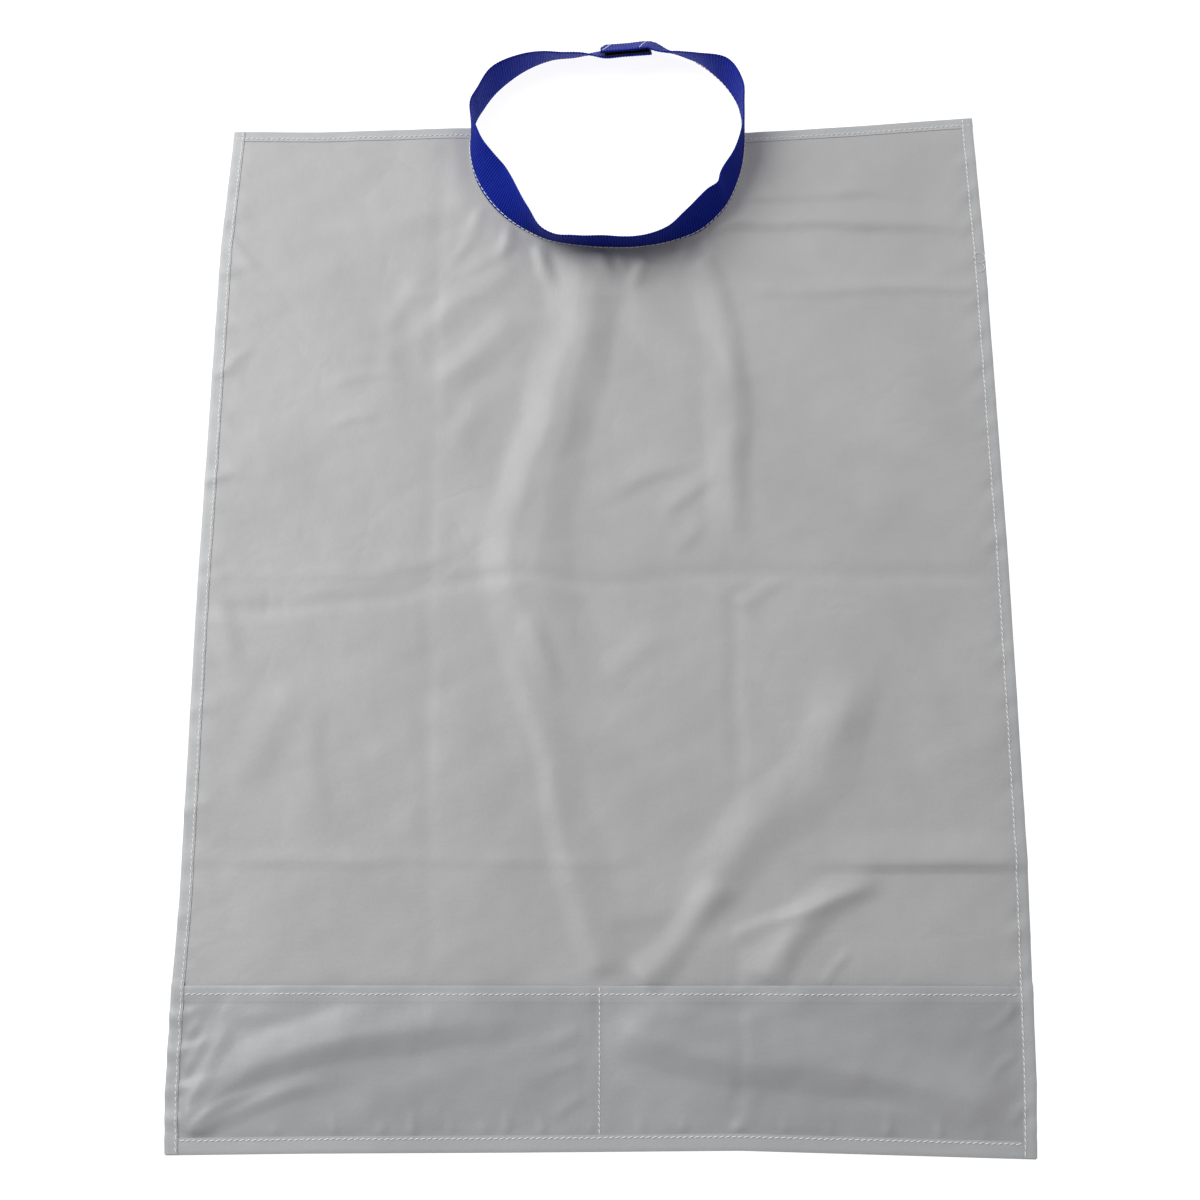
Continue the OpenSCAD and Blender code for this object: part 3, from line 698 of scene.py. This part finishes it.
def close_sheet(name, grids, corner, gap, doubled, materials):
    """Meshes the grid's cells where gap is above zero, cutting cells at zero exactly."""
    points, index = [], {}

    def vertex(here, after=None):
        """The point of the grid, or the point where gap is zero between two of them."""
        ends = tuple(sorted((here, after))) if after else (here,)
        if ends not in index:
            index[ends] = len(points)
            share = gap[ends[0]] / (gap[ends[0]] - gap[ends[1]]) if after else 0.0
            points.append([g[ends[0]] * (1 - share) + g[ends[-1]] * share for g in grids])
        return index[ends]

    faces, face_mats = [], []
    for i in range(gap.shape[0] - 1):
        for j in range(gap.shape[1] - 1):
            ring = [(i, j), (i + 1, j), (i + 1, j + 1), (i, j + 1)]
            keep = [gap[c] > 0 for c in ring]
            if any(corner[c] for c in ring) or not any(keep):
                continue
            face = []
            for k, here in enumerate(ring):
                after = ring[(k + 1) % 4]
                if keep[k]:
                    face.append(vertex(here))
                if keep[k] != keep[(k + 1) % 4]:
                    face.append(vertex(here, after))
            if len(face) > 2:
                faces.append(face)
                face_mats.append(int(any(doubled[c] for c in ring)))
    count = len(points)
    mids, normals, flats = np.array(points).transpose(1, 0, 2)
    half = normals * FILM_T / 2
    edges = {}
    for face in faces:
        for a, b in zip(face, face[1:] + face[:1]):
            edges.setdefault((min(a, b), max(a, b)), []).append((a, b))
    rim = [uses[0] for uses in edges.values() if len(uses) == 1]
    back = [[v + count for v in reversed(face)] for face in faces]
    sides = [[b, a, a + count, b + count] for a, b in rim]
    sharp = rim + [(a + count, b + count) for a, b in rim]
    return make_object(
        name, np.concatenate([mids + half, mids - half]), faces + back + sides, materials,
        face_mats * 2 + [0] * len(rim), {"flat": np.concatenate([flats] * 2)}, sharp,
    )


# ---- the film sheet
def pile_side(x, y):
    """Height of the pile inside the side hems."""
    pocket = smooth((MOUTH_Y + 1.5 - y) / 1.5)
    mouth = smooth((y - MOUTH_Y + MOUTH_HEM + 1.2) / 1.2) * smooth((MOUTH_Y + 1.2 - y) / 1.2)
    top = smooth((y - TOP_Y + TOP_HEM + 1.2) / 1.2)
    bottom = smooth((BOTTOM_Y + BOTTOM_HEM + 1.2 - y) / 1.2)
    return LAYER * (1 + pocket + mouth + top + bottom)


def pile_end(x, y):
    """Height of the pile inside the top and bottom hems."""
    return LAYER * np.where(y < 0, 2, 1)


def film_base(x, y):
    return FILM_T / 2


def one_layer(x, y):
    return LAYER


def outside_neckline(x, y):
    """Above zero where the sheet is, below zero in the neckline's cut-out."""
    close = (y > TOP_Y - 100) & (np.abs(x) < 110)
    gap = np.full(x.shape, 20.0)
    dist, _, side = nearest_on(NECKLINE, x[close], y[close])
    gap[close] = -side * dist
    return gap


film = sheet_object(
    "film_sheet",
    Folded(spaced(-SIDE_X + CURL, SIDE_X - CURL, 2.45), SIDE_HEM, SIDE_HEM),
    Folded(spaced(BOTTOM_Y + CURL + LAYER / 2, TOP_Y - CURL, 2.6), BOTTOM_HEM, TOP_HEM),
    film_base, pile_side, pile_end, 1, film_height,
    [FILM_MAT, HEM_MAT], outside_neckline,
)


# ---- the pocket's panel
def pocket_base(x, y):
    """The panel's middle over the back of the film: on the film, and on its own mouth hem."""
    return FILM_T / 2 + LAYER * (1 + smooth((y - MOUTH_Y + MOUTH_HEM + 1.5) / 1.2))


def pocket_height(x, y):
    return film_height(x, y) + pocket_lift(x, y)


pocket = sheet_object(
    "pocket_film",
    Folded(spaced(-SIDE_X + 0.75, SIDE_X - 0.75, 1.6)),
    Folded(spaced(BOTTOM_Y + 0.9, MOUTH_Y - CURL, 1.6), 0.0, MOUTH_HEM, 1.2),
    pocket_base, one_layer, one_layer, -1, pocket_height,
    [POCKET_MAT, MOUTH_MAT], None, MOUTH_Y - MOUTH_HEM - 0.4,
)


# ---- sewing threads
def over_side_hem(x, y):
    return film_height(x, y) + pile_side(x, y) + FILM_T


def over_end_hem(x, y):
    return film_height(x, y) + pile_end(x, y) + FILM_T


def over_pocket(x, y):
    return pocket_height(x, y) + pocket_base(x, y) + FILM_T / 2


def under_pocket(x, y):
    return over_pocket(x, y) - FILM_T - LAYER


class Thread:
    """Collects short bent lengths of thread or yarn into one mesh."""

    def __init__(self, sides=6):
        self.sides = sides
        self.verts = []
        self.faces = []

    def take(self, verts, faces):
        shift = len(self.verts)
        self.verts += list(verts)
        self.faces += [[v + shift for v in face] for face in faces]

    def tube(self, points, radii, normal_hint):
        points = np.asarray(points, float)
        verts = []
        for k, p in enumerate(points):
            t = points[min(k + 1, len(points) - 1)] - points[max(k - 1, 0)]
            t /= max(np.linalg.norm(t), 1e-9)
            side = np.cross(t, normal_hint)
            side /= max(np.linalg.norm(side), 1e-9)
            up = np.cross(side, t)
            for a in math.tau * np.arange(self.sides) / self.sides:
                verts.append(p + radii[k] * (math.cos(a) * side + math.sin(a) * up))
        self.take(verts, skin(len(points), self.sides))

    def stitch(self, a, b, normal, slant, crown=1.0):
        """One stitch from needle hole a to needle hole b, on the side normal points to."""
        length = np.linalg.norm(b - a)
        along = (b - a) / length
        aside = np.cross(normal, along)
        shares = [0.07, 0.22, 0.5, 0.78, 0.93]
        rise = [-0.9, 0.5, 0.85, 0.5, -0.9]
        sway = [-0.5, -0.42, 0.0, 0.42, 0.5]
        radii = [0.6, 0.95, 1.0, 0.95, 0.6]
        points = [
            a + along * length * s + normal * THREAD_R * r * crown + aside * slant * w
            for s, r, w in zip(shares, rise, sway)
        ]
        self.tube(points, [THREAD_R * r for r in radii], normal)

    def seam(self, pts, surface, below, seed, slant=0.6):
        """A row of stitches along flat points, on a surface and on the back of the film."""
        rng = np.random.RandomState(seed)
        wander = np.cumsum(rng.randn(len(pts))) * 0.03
        wander -= np.linspace(wander[0], wander[-1], len(pts))
        run = pts[-1] - pts[0]
        aside = np.array([-run[1], run[0]]) / np.linalg.norm(run)
        pts = pts + aside * (wander + rng.randn(len(pts)) * 0.05)[:, None]
        x, y = pts.T
        top = on_sheet(x, y, surface(x, y))
        low = on_sheet(x, y, below(x, y) - 0.02)
        up = np.array([0.0, 0.0, 1.0])
        for a, b in zip(top, top[1:]):
            self.stitch(a, b, up, slant * (0.7 + 0.6 * rng.rand()))
        for a, b in zip(low, low[1:]):
            self.stitch(a, b, -up, slant * 0.4, 0.45)

    def build(self, name, material=THREAD_MAT):
        return make_object(name, self.verts, self.faces, [material])


threads = {}


def straight_seam(name, node, a, b, surface, seed, below=film_height):
    """A straight seam from a to b in the flat sheet, with evenly spaced needle holes."""
    thread = Thread()
    count = max(1, int(round(math.dist(a, b) / STITCH)))
    thread.seam(np.linspace(a, b, count + 1), surface, below, seed)
    threads[name] = (thread, node)


for word, x0, x1, seed in (
    ("left", -SIDE_X + 1, LEFT_NECK_X - 2.5, 1), ("right", RIGHT_NECK_X + 3, SIDE_X - 1, 2),
):
    straight_seam(
        "seam_top_" + word, "top_hem_thread_" + word,
        (x0, TOP_SEAM_Y), (x1, TOP_SEAM_Y), over_end_hem, seed,
    )
for side, word in ((-1, "left"), (1, "right")):
    for half, y0, y1, seed in (("upper", FOLD_Y, TOP_Y - 0.8, 3), ("lower", BOTTOM_Y + 1, FOLD_Y, 7)):
        straight_seam(
            "seam_" + word + "_" + half, word + "_hem_thread_" + half,
            (side * SIDE_SEAM_X, y0), (side * SIDE_SEAM_X, y1), over_side_hem, seed + side,
        )
POCKET_SEAM_X = SIDE_SEAM_X - 1.7
straight_seam(
    "seam_pocket_bottom", "pocket_bottom_thread",
    (-POCKET_SEAM_X, BOTTOM_SEAM_Y), (POCKET_SEAM_X, BOTTOM_SEAM_Y), over_end_hem, 11,
)
straight_seam(
    "seam_pocket_mouth", "pocket_mouth_thread",
    (-POCKET_SEAM_X, MOUTH_SEAM_Y), (POCKET_SEAM_X, MOUTH_SEAM_Y), over_pocket, 12, under_pocket,
)
straight_seam(
    "seam_pocket_divider", "pocket_divider_thread",
    (DIVIDER_X, BOTTOM_Y + BOTTOM_HEM + 0.5), (DIVIDER_X, MOUTH_Y - 0.6), over_pocket, 13,
)


def arc_points(x, y, radius, start, end, count):
    """Points on an arc round x, y, from one angle to the other in degrees."""
    angles = np.radians(np.linspace(start, end, count + 1))
    return np.stack([x + radius * np.cos(angles), y + radius * np.sin(angles)], 1)


# A thread end that was never trimmed curls beside the right-hand seam.
curl_x, curl_y = np.concatenate([
    arc_points(SIDE_SEAM_X + 2.2, 206.5, 3.3, 200, -110, 14),
    arc_points(SIDE_SEAM_X + 1.8, 200.5, 3.0, 75, -150, 12),
]).T
curl_z = over_side_hem(curl_x, curl_y) + 0.3
curl_z += 0.6 * np.sin(np.linspace(0, 5 * math.pi, len(curl_x))) ** 2
curl = on_sheet(curl_x, curl_y, curl_z)
threads["seam_right_upper"][0].tube(curl, [0.13] * len(curl), np.array([0, 0, 1.0]))

# ---- the webbing
RING_STEP = 0.3625
RIB_RELIEF = 0.27
FACE_POINTS = 9
EDGE_POINTS = 3
TAB_SLANT = 7.0


def tape_section():
    """The webbing's cross-section: through and across positions, edges thick and round."""
    ups = np.linspace(1.1, BAND_W - 1.1, FACE_POINTS)
    half = BAND_T / 2
    turns = [math.pi * k / (EDGE_POINTS + 1) for k in range(1, EDGE_POINTS + 1)]
    section = [(-half * 0.93, u) for u in ups]
    section += [(-half * math.cos(a), BAND_W - 1.0 + math.sin(a)) for a in turns]
    section += [(half * 0.93, u) for u in reversed(ups)]
    section += [(half * math.cos(a), 1.0 - math.sin(a)) for a in turns]
    return np.array(section).T


def slanted(s, up):
    """The tab's end is cut at a slant, and its stitching and hook tape follow it."""
    near_end = np.clip(1 - (S_END - s) / 30.0, 0, 1)
    return s + TAB_SLANT * near_end * (np.asarray(up) / BAND_W - 0.5)


def tape_object(name, s0, s1):
    """Webbing from s0 to s1 along the band, with its ribs, closed at both ends."""
    off0, up0 = tape_section()
    edge = np.minimum(up0, BAND_W - up0)
    n = len(up0)
    rings = max(2, int(round((s1 - s0) / RING_STEP)))
    verts, coords = [], []
    for r in range(rings + 1):
        s = slanted(s0 + (s1 - s0) * r / rings, up0)
        rib = 0.5 + 0.5 * np.cos(math.tau * s / RIB_PITCH)
        swell = RIB_RELIEF * (rib * smooth(edge / 1.6) - 0.5)
        notch = np.where(edge < 1.05, 0.16 * (rib - 0.5), 0) * np.sign(up0 - BAND_W / 2)
        verts.append(band_points(band_u(s), off0 + np.sign(off0) * swell, up0 + notch))
        coords.append(np.stack([s, up0, off0], 1))
    for rows in (verts, coords):
        rows += [rows[0].mean(0)[None], rows[-1].mean(0)[None]]
    faces = []
    for first in range(0, rings * n, n):
        for k in range(n):
            a, b = first + k, first + (k + 1) % n
            faces.append([a, a + n, b + n, b])
    last, centre = rings * n, (rings + 1) * n
    faces += [[k, (k + 1) % n, centre] for k in range(n)]
    faces += [[last + (k + 1) % n, last + k, centre + 1] for k in range(n)]
    tape = {"tape": np.concatenate(coords)}
    return make_object(name, np.concatenate(verts), faces, [WEB_MAT], None, tape)


tape_left = tape_object("tape_left", 0.0, S_MIDDLE)
tape_right = tape_object("tape_right", S_MIDDLE, S_TAB_START)
tape_tab = tape_object("tape_tab", S_TAB_START, S_END)


def band_seam(s_values, up_values, clearance, outward):
    """Stitches on the band's inner face (outward 1) or outer face (outward -1)."""
    thread = Thread()
    u = band_u(np.asarray(s_values))
    places = band_points(u, outward * (BAND_T / 2 + clearance), up_values)
    normals = band_frame(u)[1] * outward
    for a, b, normal in zip(places, places[1:], normals):
        thread.stitch(a, b, normal, 0.22)
    return thread


def cross_rows(rows, outward):
    """Rows of stitches across the webbing, each from its place along it and its slant."""
    thread = Thread()
    ups = np.linspace(2.2, BAND_W - 2.2, 8)
    for s_at, slant in rows:
        s_values = slanted(s_at, ups) + slant * (ups / BAND_W - 0.5)
        row = band_seam(s_values, ups, SEAM_LIFT, outward)
        thread.take(row.verts, row.faces)
    return thread


neck_holes = np.linspace(band_s(LEFT_HINGE + 0.1), band_s(RIGHT_HINGE - 0.1), 86)
neck_seam = band_seam(neck_holes, NECK_SEAM_UP, SEAM_LIFT, -1)
threads["seam_neckline"] = (neck_seam, "neckline_thread")
# The same thread runs on along the edge of the right-hand strap, on its inner face.
edge_holes = np.arange(band_s(RIGHT_HINGE + 0.35), S_TAB_START - 22.0, STITCH)
edge_seam = band_seam(edge_holes, 1.0, 0.05, 1)
threads["seam_strap_edge"] = (edge_seam, "right_strap")
hook_rows = cross_rows([(S_HOOK_END - 3, 0.6), (S_HOOK_END - PATCH_L + 3, 4.5)], -1)
threads["seam_hook_patch"] = (hook_rows, "hook_patch_thread")
loop_rows = cross_rows([(PATCH_INSET + 3, 0.6), (PATCH_INSET + PATCH_L - 3, 0.6)], 1)
threads["seam_loop_patch"] = (loop_rows, "loop_patch_thread")


# ---- film turned up on the tape
def facing_object():
    """The film's seam allowance: it turns up on the inner face of the webbing."""
    n = 240
    u = np.linspace(LEFT_HINGE + 0.05, RIGHT_HINGE - 0.05, n)
    outer = [(-0.9, -0.22), (-0.2, -0.34), (0.5, -0.2), (0.82, 0.3), (0.82, FACING_H)]
    inner = [(-0.9, 0.06), (-0.2, -0.05), (0.42, 0.06), (0.54, 0.4), (0.54, FACING_H)]
    ring = outer + inner[::-1]
    rows = [band_points(u, off, up + 0.25) for off, up in ring]
    verts = np.stack(rows, 1).reshape(-1, 3)
    s = np.repeat(band_s(u), len(ring))
    coords = np.stack([s, np.tile([up for _, up in ring], n), np.zeros(len(s))], 1)
    faces = skin(n, len(ring))
    return make_object("neck_facing", verts, faces, [HEM_MAT], None, {"flat": coords})


facing = facing_object()

# ---- hook and loop
PATCH_LOW = (BAND_W - PATCH_W) / 2


def woven_strip(s0, off0, off1):
    """A flat strip on the band, its long edges softened and frayed, to stand yarns on."""
    n = 60
    s = np.linspace(s0, s0 + PATCH_L, n)
    mid = (off0 + off1) / 2
    low, high = PATCH_LOW, PATCH_LOW + PATCH_W
    ring = [
        (off0, low + 0.15), (off0, high - 0.15), (mid, high), (off1, high - 0.15),
        (off1, low + 0.15), (mid, low),
    ]
    fray = np.random.RandomState(4).rand(n) * 0.7
    rows = []
    for off, at in ring:
        up = at + fray * (1 if at > low + 1 else -0.5)
        rows.append(band_points(band_u(slanted(s, up)), off, up))
    strip = Thread(4)
    strip.take(np.stack(rows, 1).reshape(-1, 3), skin(n, len(ring)))
    return strip


def yarn_frame(s, up):
    """Foot, along, through and across directions of the band at one place."""
    foot, through, across = (v[0] for v in band_frame(band_u([s])))
    return foot + across * up, np.cross(across, through), through, across


def hook_patch():
    """Woven strip with rows of small bent hooks."""
    s0, off0 = S_HOOK_END - PATCH_L, BAND_T / 2
    patch = woven_strip(s0, off0, off0 + HOOK_BACKING)
    rng = np.random.RandomState(8)
    rise = HOOK_T - HOOK_BACKING
    for i in range(24):
        for j in range(18):
            s = s0 + 0.8 + (PATCH_L - 1.6) * (i + 0.15 * rng.randn()) / 23
            up = PATCH_LOW + 0.8 + (PATCH_W - 1.6) * (j + 0.15 * rng.randn()) / 17
            foot, along, through, across = yarn_frame(slanted(s, up), up)
            base = foot + through * (off0 + 0.3)
            bend = 0.34 * (1 if (i + j) % 2 else -1)
            hook = [(0, 0), (0.05, 0.45), (0.3, 0.92), (0.8, 1.0), (1.05, 0.72)]
            pts = [base + along * bend * a + through * rise * b for a, b in hook]
            patch.tube(pts, [0.11, 0.1, 0.1, 0.1, 0.08], across)
    return patch.build("hook_tape", HOOK_MAT)


def loop_patch():
    """Brushed strip with a pile of small loops."""
    patch = woven_strip(PATCH_INSET, -BAND_T / 2 - LOOP_BACKING, -BAND_T / 2)
    rng = np.random.RandomState(5)
    for _ in range(900):
        s = PATCH_INSET + 0.4 + (PATCH_L - 0.8) * rng.rand()
        up = PATCH_LOW + 0.35 + (PATCH_W - 0.7) * rng.rand()
        foot, along, through, across = yarn_frame(s, up)
        turn = rng.rand() * math.tau
        lie = along * math.cos(turn) + across * math.sin(turn)
        base = foot - through * (BAND_T / 2 + 0.45)
        tall = (LOOP_T - LOOP_BACKING) * (0.65 + 0.35 * rng.rand())
        wide = 0.35 + 0.3 * rng.rand()
        arc = [(-0.5, 0.0), (-0.45, 0.6), (0.0, 1.0), (0.45, 0.6), (0.5, 0.0)]
        pts = [base + lie * wide * a - through * tall * b for a, b in arc]
        patch.tube(pts, [0.06] * 5, np.cross(lie, through))
    return patch.build("loop_tape", LOOP_MAT)


hooks = hook_patch()
loops = loop_patch()


def give(piece, slot, *nodes):
    """Hides the CAD nodes that the piece stands for; piece and slot are not used."""
    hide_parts(*nodes)


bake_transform(film)
give(film, "film", "bib_upper", "bib_lower")
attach(facing, "bib")
give(facing, "film", "bib_upper")
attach(pocket, "lower_flap")
give(pocket, "pocket_film", "pocket_panel")
both_straps = (
    (tape_left, "left_strap", LEFT_NECK_X), (tape_right, "right_strap", RIGHT_NECK_X),
)
for tape, strap, x in both_straps:
    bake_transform(tape)
    give(tape, "webbing", strap, "neck_tape")
tab_x, tab_y = curve_at(STATIONS, TAB_HINGE)[0][:2]
tab_y = (tab_y + TOP_Y) * MM
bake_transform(tape_tab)
give(tape_tab, "webbing", "fastening_tab", "right_strap")
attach(hooks, "fastening_tab")
give(hooks, "hook", "hook_patch")
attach(loops, "left_strap")
give(loops, "loop", "loop_patch")

BODY_OF_THREAD = {"right_strap": "right_strap", "loop_patch_thread": "left_strap"}
BODY_OF_THREAD["hook_patch_thread"] = "fastening_tab"
for word in ("mouth", "divider", "bottom"):
    BODY_OF_THREAD["pocket_" + word + "_thread"] = "lower_flap"
for name, (thread, node) in threads.items():
    piece = thread.build(name)
    if node.endswith("_lower"):
        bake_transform(piece)
    else:
        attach(piece, BODY_OF_THREAD.get(node, "bib"))
    give(piece, "thread", node)


# ---- floor, light, camera
def make_floor():
    """A white floor just under the apron's back face."""
    size, z = 40.0, -0.0003
    mesh = bpy.data.meshes.new("floor")
    corners = [(-size, -size, z), (size, -size, z), (size, size, z), (-size, size, z)]
    mesh.from_pydata(corners, [], [(0, 1, 2, 3)])
    white = Material("floor_white")
    white.put(white.shader, Base_Color=(0.32, 0.32, 0.32), Roughness=0.9, Specular_IOR_Level=0.1)
    white.put(white.shader, Emission_Color=(1, 1, 1), Emission_Strength=0.90)
    mesh.materials.append(white.made)
    floor = add_object("floor", mesh)


def area_light(name, place, target, size, power, tint):
    data = bpy.data.lights.new(name, "AREA")
    data.shape = "DISK"
    data.size = size
    data.energy = power
    data.color = tint
    lamp = add_object(name, data)
    lamp.location = place
    lamp.rotation_euler = (Vector(target) - Vector(place)).to_track_quat("-Z", "Y").to_euler()


make_floor()
area_light("key", (-1.3, 0.75, 1.25), (0, 0, 0), 1.7, 34.8, (0.98, 1.0, 0.985))
area_light("top", (0.75, 1.5, 1.5), (0, 0.2, 0), 1.6, 7.5, (1.0, 0.985, 1.0))

world = bpy.data.worlds.new("studio")
world.use_nodes = True
backdrop = world.node_tree.nodes["Background"].inputs
backdrop["Color"].default_value = (1.0, 0.985, 0.985, 1)
backdrop["Strength"].default_value = 0.36
bpy.context.scene.world = world

camera_data = bpy.data.cameras.new("camera")
camera_data.sensor_width = 36.0
camera_data.lens = 52.05
camera_data.clip_end = 30.0
camera = add_object("camera", camera_data)
camera.location = (0.0396, -0.2675, 0.9393)
camera.rotation_euler = Euler([math.radians(a) for a in (15.84, 2.31, 0.18)], "XYZ")
bpy.context.scene.camera = camera
bpy.context.scene.view_settings.view_transform = "Standard"
